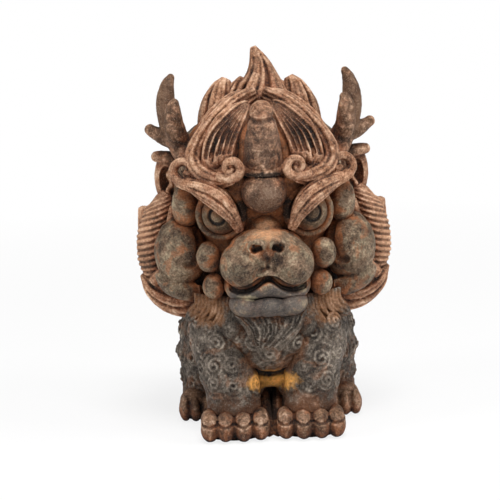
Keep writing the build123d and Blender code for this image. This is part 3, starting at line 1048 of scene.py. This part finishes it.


# %% [markdown]
# ## Rusted iron
#
# Old cast iron has one range of tones, from black in the grooves to pale on the worn ridges. So one
# number, the level, is worked out first: the relief stored on each piece, ambient occlusion, and
# patches, mottles and grains of noise push it up or down. Through the relief and the ambient occlusion
# the level also paints shade into grooves and sheltered places, and a painted highlight on to ridges.
# A ramp of five tones turns it into a colour.
# Then the tint is changed and the tone kept: grey where the skin is sound, orange in the hollows, where
# water stays. A stain is a patch round a place; some stains are painted shade.

# %% Rusted iron
def colour(red, green, blue):
    """A colour as the eye reads it, 0 to 255, made linear for the shader."""
    return (*(((value / 255 + 0.055) / 1.055) ** 2.4 for value in (red, green, blue)), 1.0)


WIDE = 5.0               # how far the two measures of shelter look, in mm
NEAR = 1.6
PITS = 0.12              # depth of the pits in the rust, in mm


def stain_mark(finish, mm, middle, reach, mottle):
    """The mask of one stain: 1 in its middle, 0 outside, with a ragged rim."""
    offset = finish.node("ShaderNodeVectorMath", {"operation": "SUBTRACT"}, {0: mm, 1: middle})
    scaled = finish.node("ShaderNodeVectorMath", {"operation": "DIVIDE"}, {0: offset, 1: reach})
    away = finish.node("ShaderNodeVectorMath", {"operation": "LENGTH"}, {0: scaled}, out=1)
    return finish.steps(away + 0.5 * mottle - 0.25, (0.62, 1.0), (1.0, 0.0))


def rusted_iron(name, tones, sound, orange, bare=0.5, rust=0.8, shine=0.25, stains=()):
    """tones run from deep groove to worn ridge, darker with painted shade and paler with painted highlight;
    sound and orange are tints, bare and rust how far they go.

    stains lists patches as (middle in mm, half-widths in mm, colour, strength).
    """
    finish = Finish(name)
    place = finish.node("ShaderNodeTexCoord", out=3)
    mm = finish.node("ShaderNodeVectorMath", {"operation": "SCALE"}, {0: place, "Scale": 1 / MM})
    patch = finish.patches(0.38, 0.62, mm, 0.16, 3.0, 0.6, 0.5)
    mottle = finish.patches(0.36, 0.64, mm, 0.55, 5.0, 0.7, 0.3)
    grain = finish.patches(0.34, 0.66, mm, 2.3, 4.0, 0.75)
    spread = finish.patches(0.38, 0.62, mm, 0.24, 4.0, 0.65, 0.8)
    glint = finish.noise(mm, 5.0, 2.0, 0.6)
    relief = finish.node("ShaderNodeAttribute", {"attribute_name": "relief"}, out=2)
    pressed = finish.node("ShaderNodeAttribute", {"attribute_name": "pressed"}, out=2)
    wide = finish.node("ShaderNodeAmbientOcclusion", {"samples": 8}, {"Distance": WIDE * MM}, out=1)
    near = finish.node("ShaderNodeAmbientOcclusion", {"samples": 8}, {"Distance": NEAR * MM}, out=1)

    noises = 0.3 * patch + 0.36 * mottle + 0.42 * grain
    # Painted shade and highlight: relief and ambient occlusion darken grooves and sheltered places and
    # lighten ridges.
    level = noises + 0.42 * relief + 0.45 * wide + 0.22 * near - 0.68
    skin = finish.ramp(level, [(number / 4, tone) for number, tone in enumerate(tones)])
    hollow = finish.steps(1 - wide + 0.6 * spread - 0.3, (0.12, 0.0), (0.5, 1.0))
    dry = finish.steps(0.6 * spread + 0.4 * mottle, (0.3, 0.0), (0.65, 1.0)) * (1 - hollow)
    skin = finish.blend(dry * bare, skin, sound, "COLOR")
    wet_rust = finish.blend(1.0, orange, 0.3 + 1.2 * level, "MULTIPLY")
    skin = finish.blend(hollow * rust, skin, wet_rust)
    for middle, reach, tint, strength in stains:
        tinted = finish.blend(1.0, tint, 0.4 + 1.2 * level, "MULTIPLY")
        mark = stain_mark(finish, mm, middle, reach, mottle)
        skin = finish.blend(mark * strength, skin, tinted)
    # Painted shade: the pressed lines are darkened towards the deepest tone.
    skin = finish.blend(0.95 * pressed, skin, tones[0])
    pale_specks = finish.steps(glint, (0.6, 0.0), (0.68, 1.0))
    skin = finish.blend(pale_specks * 0.4 * near, skin, tones[-1])
    finish.feed(finish.shader.inputs["Base Color"], skin)
    finish.feed(finish.shader.inputs["Roughness"], 0.68 - 0.26 * dry + 0.12 * grain)
    finish.feed(finish.shader.inputs["Metallic"], shine * dry)
    height = grain + 0.6 * glint + 0.6 * mottle
    bump = finish.node("ShaderNodeBump", {}, {"Strength": 0.9, "Distance": PITS * MM, "Height": height})
    finish.feed(finish.shader.inputs["Normal"], bump)
    finish.shader.inputs["Specular IOR Level"].default_value = 0.4
    return finish.material


def palette(*colours):
    """The five tones of a finish, from deep groove to worn ridge; the dark end also serves as painted shade,
    the pale end as painted highlight.
    """
    return [colour(*each) for each in colours]


def both_sides(middle, reach, tint, strength):
    """The same stain on either side."""
    x, y, z = middle
    return [((side * x, y, z), reach, tint, strength) for side, _ in SIDES]


FINISHES = {
    "iron_dark": rusted_iron(
        "dark_iron",
        palette((12, 6, 3), (42, 33, 26), (80, 70, 60), (122, 110, 98), (176, 164, 148)),
        colour(90, 90, 90), colour(150, 92, 50), bare=0.9, rust=0.6, shine=0.3,
        stains=[
            ((0, -16, 0), (40, 40, 9.5), colour(98, 60, 34), 0.9),  # brown legs
            *both_sides((12.5, -17, 26), (6.5, 5, 4), colour(160, 104, 56), 0.5),  # whiskers
            # Painted shade: a near-black patch between the legs.
            ((0, -15, 6.0), (3.6, 9, 4.2), colour(30, 16, 8), 0.85),  # between the legs
            ((0, -18.5, 11.2), (7.0, 6.0, 2.5), colour(232, 166, 80), 0.9),  # ochre belly
        ],
    ),
    "iron_foot": rusted_iron(
        "foot_iron",
        palette((12, 5, 2), (56, 32, 18), (104, 74, 50), (154, 116, 88), (208, 176, 150)),
        colour(110, 98, 88), colour(140, 78, 38), bare=0.25, rust=0.6,
        # Painted shade: a near-black patch between the paws.
        stains=[((0, -18, 6), (1.6, 7.5, 7), colour(20, 10, 5), 0.85)],  # between the paws
    ),
    "iron_red": rusted_iron(
        "red_iron",
        palette((24, 11, 5), (96, 56, 33), (156, 107, 75), (204, 156, 122), (238, 204, 174)),
        colour(116, 100, 84), colour(146, 80, 44), bare=0.3, rust=0.6, shine=0.15,
        stains=[
            *both_sides((19, -4, 66), (6, 8, 12), colour(74, 52, 34), 0.8),  # antlers
            *both_sides((26, 2, 40), (7, 10, 15), colour(206, 160, 126), 0.35),  # pale mane
            ((0, -22, 50), (5.5, 5, 4.5), colour(76, 56, 42), 0.8),  # boss on the brow
            ((0, -19, 61), (5.2, 6, 8.5), colour(74, 58, 48), 0.75),  # horn
            # Painted shade: a near-black band under the horn's collar.
            ((0, -20.5, 54.4), (5.0, 5, 0.7), colour(16, 9, 5), 0.9),  # under the collar
        ],
    ),
    "iron_face": rusted_iron(
        "face_iron",
        palette((16, 9, 5), (58, 40, 28), (102, 80, 60), (146, 118, 94), (198, 170, 144)),
        colour(112, 102, 82), colour(170, 100, 54), bare=0.75, rust=0.85,
        stains=[
            ((0, -22, 28.6), (10.5, 8, 5), colour(96, 90, 86), 0.85),  # grey lip and chin
            ((0, -24, 44.4), (4.6, 5, 3.4), colour(214, 158, 114), 0.75),  # rust on the muzzle
            *both_sides((8.8, -18, 46), (4.6, 5, 4.6), colour(104, 80, 54), 0.5),  # eyes
            # Painted shade: near-black at the foot of each brow, beside the nose.
            *both_sides((4.7, -19.5, 46.6), (1.7, 5, 2.6), colour(18, 10, 5), 0.9),  # foot of a brow
            # Painted shade: a dark patch under the nose.
            ((0, -25.4, 38.4), (2.2, 3, 1.2), colour(52, 38, 28), 0.7),  # under the nose
            ((-4.0, -22.8, 29.8), (2.2, 3, 0.9), colour(214, 198, 160), 0.8),  # pale spots on the lip
            ((6.6, -20.6, 30.9), (1.4, 3, 1.0), colour(214, 198, 160), 0.8),
        ],
    ),
}

# %% Coating the pieces
slot_of = {row["node"]: row["material_slot"] for row in frame["record"]["subparts"]}
for node, piece in pieces.items():
    piece.data.materials.clear()
    piece.data.materials.append(FINISHES[slot_of[node]])
print("pieces:", len(pieces), "finishes:", len(FINISHES))

# %% [markdown]
# ## Stage, light and camera
#
# The figure stands on plain white card under soft light from above and both sides. The camera is a
# long lens, a little above the figure. Its roll follows the lean of the beast's head.

# %% Stage
SHADOW_REACH = 0.3       # how far out, in metres, the card shows a shadow to the camera
NEAR_WHITE = 0.8         # share of plain white in the card, close to the figure


def card_material():
    """White card: it shows as white to the camera, and still takes the figure's shadow."""
    finish = Finish("card")
    finish.shader.inputs["Base Color"].default_value = (0.86, 0.86, 0.86, 1)
    finish.shader.inputs["Roughness"].default_value = 0.9
    glow = finish.node("ShaderNodeEmission", {}, {"Color": (1, 1, 1, 1), "Strength": 1.0})
    path = finish.nodes.new("ShaderNodeLightPath")
    seen = Wire(finish, path.outputs["Is Camera Ray"])
    shader = Wire(finish, finish.shader.outputs["BSDF"])
    place = finish.node("ShaderNodeTexCoord", out=3)
    away = finish.node("ShaderNodeVectorMath", {"operation": "LENGTH"}, {0: place}, out=1)
    whiter = finish.steps(away / SHADOW_REACH, (0.2, NEAR_WHITE), (1.0, 1.0))
    mixed = finish.node("ShaderNodeMixShader", {}, {0: seen * whiter, 1: shader, 2: glow})
    finish.feed(finish.nodes["Material Output"].inputs["Surface"], mixed)
    return finish.material


FLOOR_SIZE = 60.0
bpy.ops.object.select_all(action="DESELECT")
bpy.ops.mesh.primitive_plane_add(size=FLOOR_SIZE, location=(0, 0, 0))
floor = bpy.context.object
floor.name = "card"
floor.data.materials.append(card_material())

# %% Light
AMBIENT = 0.19           # strength of the white light from all sides
LAMPS = (
    ("top_light", (0.04, -0.16, 0.5), 0.22, 2.1),
    ("left_light", (-0.45, -0.16, 0.24), 0.2, 1.0),
    ("right_light", (0.45, -0.16, 0.26), 0.2, 1.2),
)
AIM = Vector((0, 0, 0.04))    # the middle of the figure
world = bpy.data.worlds.new("white_tent")
bpy.context.scene.world = world
world.use_nodes = True
sky = world.node_tree.nodes["Background"]
sky.inputs["Color"].default_value = (1, 1, 1, 1)
path = world.node_tree.nodes.new("ShaderNodeLightPath")
strength = world.node_tree.nodes.new("ShaderNodeMix")
strength.inputs[2].default_value = AMBIENT
strength.inputs[3].default_value = 1.0
world.node_tree.links.new(path.outputs["Is Camera Ray"], strength.inputs[0])
world.node_tree.links.new(strength.outputs[0], sky.inputs["Strength"])


def softbox(name, place, size, power):
    """A square lamp that faces the middle of the figure."""
    lamp = bpy.data.lights.new(name, "AREA")
    lamp.size = size
    lamp.energy = power
    holder = bpy.data.objects.new(name, lamp)
    bpy.context.scene.collection.objects.link(holder)
    holder.location = place
    holder.rotation_euler = (AIM - Vector(place)).to_track_quat("-Z", "Y").to_euler()


for lamp in LAMPS:
    softbox(*lamp)

# %% Camera
AZIMUTH = math.radians(-1.0)
ELEVATION = math.radians(10.0)
ROLL = math.radians(2.2)
DISTANCE = 0.43
TARGET = Vector((-0.003, 0.0, 0.0354))
FOCAL_LENGTH = 144.6     # in mm, on a sensor 36 mm wide


def make_camera():
    """The camera that the picture is taken with."""
    back = Vector((
        math.sin(AZIMUTH) * math.cos(ELEVATION), -math.cos(AZIMUTH) * math.cos(ELEVATION), math.sin(ELEVATION)
    ))
    level_right = Vector((0, 0, 1)).cross(back).normalized()
    level_up = back.cross(level_right)
    right = math.cos(ROLL) * level_right - math.sin(ROLL) * level_up
    up = math.sin(ROLL) * level_right + math.cos(ROLL) * level_up
    lens = bpy.data.cameras.new("camera")
    lens.lens = FOCAL_LENGTH
    lens.sensor_width = 36.0
    camera = bpy.data.objects.new("camera", lens)
    bpy.context.scene.collection.objects.link(camera)
    turn = Matrix((right, up, back)).transposed().to_4x4()
    camera.matrix_world = Matrix.Translation(TARGET + back * DISTANCE) @ turn
    bpy.context.scene.camera = camera


make_camera()
bpy.context.scene.view_settings.view_transform = "Standard"
